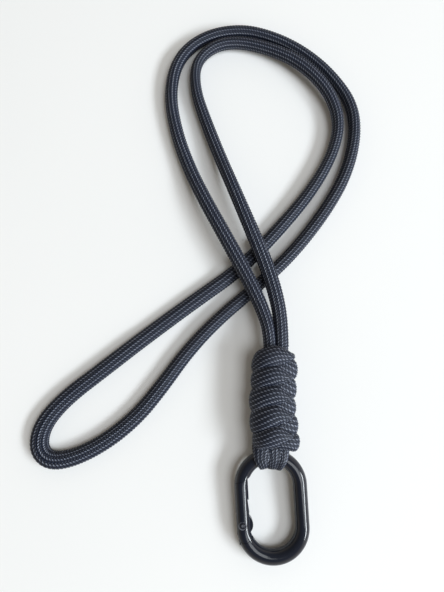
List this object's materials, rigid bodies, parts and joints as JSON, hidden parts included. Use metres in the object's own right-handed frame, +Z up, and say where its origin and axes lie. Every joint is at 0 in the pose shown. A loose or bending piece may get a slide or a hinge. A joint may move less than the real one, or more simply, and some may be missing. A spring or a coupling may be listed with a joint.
{
  "type": "neck lanyard",
  "caption": "Neck lanyard: a braided cord loop tied in a snake knot onto an oval spring-gate carabiner.",
  "frame": {"origin": "bottom centre of the box round the knot and the carabiner, on the surface that they lie on", "axes": "+Y from the carabiner to the knot and the neck loop, +Z up from the surface, +X to the right with the gate on the left"},
  "size_m": [0.1181, 0.1977, 0.0126],
  "materials": {
    "braided_cord": "braided nylon, soft sheen",
    "melted_cord": "melted nylon",
    "ring_coating": "gloss black coating",
    "rivet": "gloss black coating",
    "spring_steel": "plain"
  },
  "bodies": {
    "cord": {"neck_cord": "braided_cord", "knot_left_turn_1": "braided_cord", "knot_left_turn_2": "braided_cord", "knot_left_turn_3": "braided_cord", "knot_left_turn_4": "braided_cord", "knot_left_turn_5": "braided_cord", "knot_right_turn_1": "braided_cord", "knot_right_turn_2": "braided_cord", "knot_right_turn_3": "braided_cord", "knot_right_turn_4": "braided_cord", "knot_right_turn_5": "braided_cord", "knot_right_turn_6": "braided_cord", "core_strand_left": "braided_cord", "core_strand_right": "braided_cord", "bar_loop_left": "braided_cord", "bar_loop_right": "braided_cord", "cord_end_left": "melted_cord", "cord_end_right": "melted_cord"},
    "carabiner": {"carabiner_frame": "ring_coating"},
    "gate": {"carabiner_gate": "ring_coating", "gate_pivot_pin": "rivet", "gate_spring": "spring_steel"},
    "plunger": {"gate_plunger": "spring_steel"}
  },
  "joints": [
    {"name": "carabiner_swing", "type": "hinge", "parent": "cord", "child": "carabiner", "pos_m": [-0.00085, -0.00085, 0.00428], "axis": [-0.9986, -0.0523, 0], "range_deg": [-85, 85], "deforming": ["bar_loop_left", "bar_loop_right"]},
    {"name": "gate_hinge", "type": "hinge", "parent": "carabiner", "child": "gate", "pos_m": [-0.01001, -0.02292, 0.00305], "axis": [-0.003, 0.0568, -0.9984], "range_deg": [0, 28], "stiffness_Nm_per_rad": 0.1, "springref_deg": -20.05},
    {"name": "plunger_slide", "type": "slide", "parent": "gate", "child": "plunger", "axis": [-0.0523, 0.997, 0.0569], "range_m": [0, 0.0007], "deforming": ["gate_spring"]}
  ],
  "couplings": [
    {"joint": "plunger_slide", "follows": "gate_hinge", "m_per_rad": 0.00132}
  ]
}
